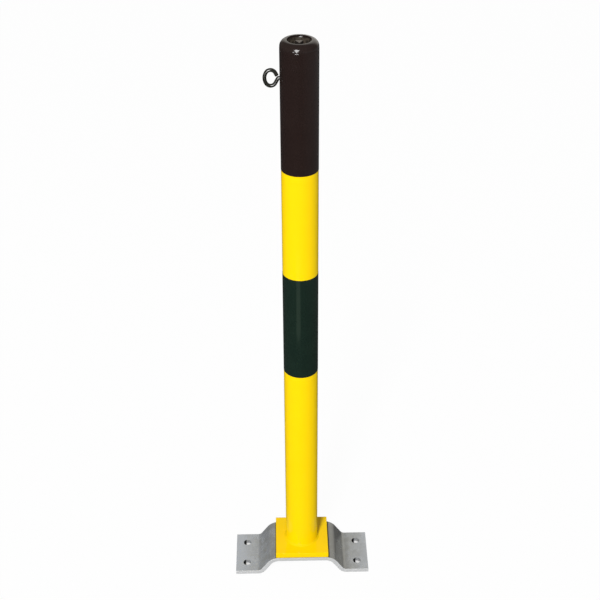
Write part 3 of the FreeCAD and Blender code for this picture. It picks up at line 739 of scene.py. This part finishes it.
def draw_on(bm, ring, outward, upward):
    """Draw the open end of the bar straight on, and return the new end."""
    raised = bmesh.ops.extrude_edge_only(bm, edges=ring)["geom"]
    points = only(bmesh.types.BMVert, raised)
    bmesh.ops.translate(bm, verts=points, vec=(-outward, 0.0, upward))
    return [edge for edge in only(bmesh.types.BMEdge, raised) if set(edge.verts) <= set(points)]


def bend_on(bm, ring, x, z, angle, steps):
    """Bend the open end of the bar on about a centre, and return the new end."""
    bent = bmesh.ops.spin(
        bm, geom=ring, cent=(-x, 0.0, eye_z + z), axis=(0.0, 1.0, 0.0), angle=angle, steps=steps
    )
    return only(bmesh.types.BMEdge, bent["geom_last"])


lying = Matrix.Rotation(math.pi / 2, 4, "Y")
bm = bmesh.new()
bmesh.ops.create_circle(
    bm,
    cap_ends=False,
    segments=24,
    radius=bar_radius,
    matrix=Matrix.Translation((thread_length - tube_radius, 0.0, eye_z)) @ lying,
)
start_ring = bm.edges[:]
ring = draw_on(bm, start_ring, thread_length, 0.0)
ring = bend_on(bm, ring, tube_radius, -neck_bend, -neck_slope, 10)
ring = draw_on(bm, ring, neck_run * math.cos(neck_slope), -neck_run * math.sin(neck_slope))
ring = bend_on(bm, ring, eye_x, -end_centre, math.pi - join_angle - neck_end, 20)
ring = bend_on(bm, ring, eye_x - far_centre, 0.0, 2 * join_angle, 14)
ring = bend_on(bm, ring, eye_x, end_centre, top_end - join_angle, 22)
ring = draw_on(bm, ring, -end_run * math.cos(end_slope), -end_run * math.sin(end_slope))
bmesh.ops.contextual_create(bm, geom=start_ring)
bmesh.ops.contextual_create(bm, geom=ring)
bmesh.ops.remove_doubles(bm, verts=bm.verts, dist=0.002 * MM)
bmesh.ops.recalc_face_normals(bm, faces=bm.faces)
cut_ends = [edge for edge in bm.edges if edge.calc_face_angle(0.0) > steep]
round_edges(bm, cut_ends, cut_edge, 2)
eye = keep_piece("coated_chain_eye", bm, "post", ["chain_eye"], 50.0)
eye_coat, tree, shader = new_material("eye_coat", (0.016, 0.016, 0.0125), 0.2, 0.75)
patches = mottled(tree, 0.006, 0.0008)[0]
clouded(tree, shader, patches, 0.3, 0.7, (0.012, 0.0125, 0.0095), (0.022, 0.022, 0.0175))
orange_peel(tree, shader, 0.2, 0.0015)
eye.data.materials.append(eye_coat)


# Lock parts
# The spindle with the three-sided end and what sits on it, the long rod with the hammer head, the
# sleeve and bearing plate under the cap, and the pins and bush of the foot. They keep their solids:
# turned and plated steel, dark oiled steel, white nylon, and the recess's paint.
def steel_material(name, colour, roughness, grain_size, worn):
    """Turned or plated steel with fine grain and darker patches."""
    material, tree, shader = new_material(name, colour, roughness, 0.5, 0.85)
    patches, grain = mottled(tree, 0.006, grain_size)
    clouded(tree, shader, patches, 0.35, 0.65, colour, worn)
    rough = spread(tree, grain, 0.3, 0.7, roughness - 0.06, roughness + 0.08)
    tree.links.new(rough, shader.inputs["Roughness"])
    roughen(tree, shader, grain, 0.15, 0.1 * MM)
    return material


plated = steel_material("zinc_plated_steel", (0.5, 0.5, 0.5), 0.38, 0.0008, (0.4, 0.4, 0.41))
oiled = steel_material("oiled_dark_steel", (0.17, 0.145, 0.13), 0.4, 0.0006, (0.1, 0.085, 0.075))
nylon, tree, shader = new_material("white_nylon", (0.7, 0.69, 0.65), 0.5, 0.4)
patches = mottled(tree, 0.004, 0.0006)[0]
clouded(tree, shader, patches, 0.3, 0.7, (0.66, 0.65, 0.6), (0.74, 0.73, 0.69))
finishes = {
    "guide_bush": plated,
    "locating_pin_front": plated,
    "locating_pin_rear": plated,
    "stop_pin": plated,
    "stop_disc": plated,
    "lock_rod": plated,
    "coupling_pin": plated,
    "hammer_head": plated,
    "hammer_pin": plated,
    "eye_nut": plated,
    "key_spindle": oiled,
    "disc_spring": oiled,
    "retaining_ring": oiled,
    "spindle_washer": nylon,
    "lock_sleeve": recess_paint,
    "bearing_plate": recess_paint,
}
for node, material in finishes.items():
    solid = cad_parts[node].data
    solid.materials.clear()
    solid.materials.append(material)


# Floor
# A plain white floor, which keeps a soft trace of the post's shadow, and all of it within the
# anchor holes, where a painted shadow also darkens each hole's left part. Gloss mirrors it dimly.
white = (1.0, 1.0, 1.0, 1.0)
floor_half = 12.0
below_feet = 0.2 * MM
bm = bmesh.new()
bmesh.ops.create_grid(bm, x_segments=1, y_segments=1, size=floor_half)
floor = to_object("floor", bm)
floor.location.z = -below_feet


def seen_straight(tree, rays):
    """A mask for what the camera sees, also through something clear."""
    camera_ray = rays.outputs["Is Camera Ray"]
    return combine(tree, "MAXIMUM", camera_ray, rays.outputs["Is Transmission Ray"])


def mix_shaders(tree, share, first, second):
    """Mix two shaders by the share of the second."""
    mix = add_node(tree, "ShaderNodeMixShader")
    tree.links.new(share, mix.inputs["Fac"])
    tree.links.new(first.outputs[0], mix.inputs[1])
    tree.links.new(second.outputs[0], mix.inputs[2])
    return mix


floor_white = bpy.data.materials.new("floor_white")
floor_white.use_nodes = True
floor_white.cycles.emission_sampling = "NONE"
tree = floor_white.node_tree
tree.nodes.clear()
rays = add_node(tree, "ShaderNodeLightPath")
place = add_node(tree, "ShaderNodeTexCoord").outputs["Object"]
along = add_node(tree, "ShaderNodeSeparateXYZ", Vector=place).outputs["X"]
hole_mask, painted_shade_mask = anchor_hole_masks(tree, 9 * MM, 10 * MM)
# Painted shadow: the floor at the left of each anchor hole is dark and loses its white glow.
unshaded = spread(tree, painted_shade_mask, 0.0, 1.0, 1.0, 0.0)
glow_share = combine(tree, "MULTIPLY", spread(tree, hole_mask, 0.0, 1.0, 0.97, 0.1), unshaded)
glow_share = combine(tree, "MULTIPLY", seen_straight(tree, rays), glow_share)
ground = blend_colours(tree, painted_shade_mask, (0.7, 0.7, 0.7), hole_shade)
matt = add_node(tree, "ShaderNodeBsdfDiffuse", Color=ground)
glow = add_node(tree, "ShaderNodeEmission", Color=white, Strength=1.0)
dimness = spread(tree, along, 0.5, 2.5, 0.05, 0.2)
dim = add_node(tree, "ShaderNodeEmission", Color=white, Strength=dimness)
looked_at = mix_shaders(tree, glow_share, matt, glow)
surface = mix_shaders(tree, rays.outputs["Is Glossy Ray"], looked_at, dim)
out = add_node(tree, "ShaderNodeOutputMaterial")
tree.links.new(surface.outputs[0], out.inputs["Surface"])
floor.data.materials.append(floor_white)


# Studio
# White surroundings as the camera sees them, dimmer as a soft light, with a pale backdrop mirrored
# in gloss. The key and two weak fills light the surfaces, and the glint lamps show only as
# reflections.
to_backdrop = (0.253, 0.945, 0.208)
world = bpy.data.worlds.new("studio")
scene.world = world
world.use_nodes = True
world.cycles.sampling_method = "NONE"
tree = world.node_tree
tree.nodes.clear()
rays = add_node(tree, "ShaderNodeLightPath")
direction = add_node(tree, "ShaderNodeTexCoord").outputs["Generated"]
towards = add_node(tree, "ShaderNodeVectorMath", {"operation": "DOT_PRODUCT"})
tree.links.new(direction, towards.inputs[0])
towards.inputs[1].default_value = to_backdrop
glare = spread(tree, towards.outputs["Value"], 0.74, 0.97, 0.12, 1.1)
soft = add_node(tree, "ShaderNodeBackground", Color=white, Strength=0.23)
backdrop = add_node(tree, "ShaderNodeBackground", Color=(1.0, 0.97, 0.89, 1.0), Strength=glare)
plain_white = add_node(tree, "ShaderNodeBackground", Color=white, Strength=1.0)
around = mix_shaders(tree, rays.outputs["Is Glossy Ray"], soft, backdrop)
surroundings = mix_shaders(tree, seen_straight(tree, rays), around, plain_white)
out = add_node(tree, "ShaderNodeOutputWorld")
tree.links.new(surroundings.outputs[0], out.inputs["Surface"])


lit_height = 0.8


def soft_box(name, azimuth, elevation, distance, width, height, radiance, colour=white[:3]):
    """A lamp that lights matt surfaces only.

    It hangs at an azimuth in degrees, from the front to the right, an elevation and a distance in
    metres from a point on the post's axis, and shines towards that point."""
    lamp = bpy.data.lights.new(name, "AREA")
    lamp.shape = "RECTANGLE"
    lamp.size = width
    lamp.size_y = height
    lamp.energy = radiance * math.pi * width * height
    lamp.color = colour
    lamp_object = bpy.data.objects.new(name, lamp)
    scene.collection.objects.link(lamp_object)
    turn = math.radians(azimuth)
    rise = math.radians(elevation)
    level = math.cos(rise)
    away = Vector((math.sin(turn) * level, -math.cos(turn) * level, math.sin(rise)))
    lamp_object.location = Vector((0.0, 0.0, lit_height)) + away * distance
    lamp_object.rotation_euler = away.to_track_quat("Z", "Y").to_euler()
    lamp_object.visible_glossy = False
    lamp_object.visible_camera = False
    return lamp_object


def glint(*lamp_values):
    """A lamp of the same kind that shows only as a reflection."""
    lamp_object = soft_box(*lamp_values)
    lamp_object.visible_glossy = True
    lamp_object.visible_diffuse = False


soft_box("key", -15.5, 44, 15.0, 2.1, 3.6, 101.0)
soft_box("fill", 65, 8, 5.0, 3.0, 3.0, 1.0, (1.0, 0.96, 0.9))
soft_box("left_fill", -75, 8, 5.0, 3.0, 3.0, 1.35)
glint("glint_top", -15.5, 30, 3.0, 1.25, 0.7, 15.0)
glint("glint_middle", -15.5, 15.5, 3.0, 1.0, 0.75, 15.0)
glint("glint_foot", -16, -1, 3.0, 0.45, 0.95, 14.0)
glint("glint_side", -34, -6, 3.0, 0.4, 0.4, 12.0)
glint("low_strip", -14.4, -40.8, 0.964, 0.32, 0.21, 0.44, (0.78, 1.0, 0.75))


# Camera
# Placed and turned as the photograph was taken, for a square picture, with the focal length that
# gives the post's sizes there.
focal_pixels = 1209.97
picture_pixels = 600
camera_place = (-0.03114, -1.71871, 1.71842)
camera_data = bpy.data.cameras.new("camera")
camera_data.sensor_width = 36.0
camera_data.lens = camera_data.sensor_width * focal_pixels / picture_pixels
camera_data.clip_end = 100.0
camera = bpy.data.objects.new("camera", camera_data)
scene.collection.objects.link(camera)
camera_right = Vector((0.999780, -0.020487, -0.004412))
camera_up = Vector((0.014891, 0.546343, 0.837429))
camera_back = camera_right.cross(camera_up)
turn = Matrix((camera_right, camera_up, camera_back)).transposed().to_4x4()
camera.matrix_world = Matrix.Translation(camera_place) @ turn
scene.camera = camera
scene.view_settings.view_transform = "Standard"
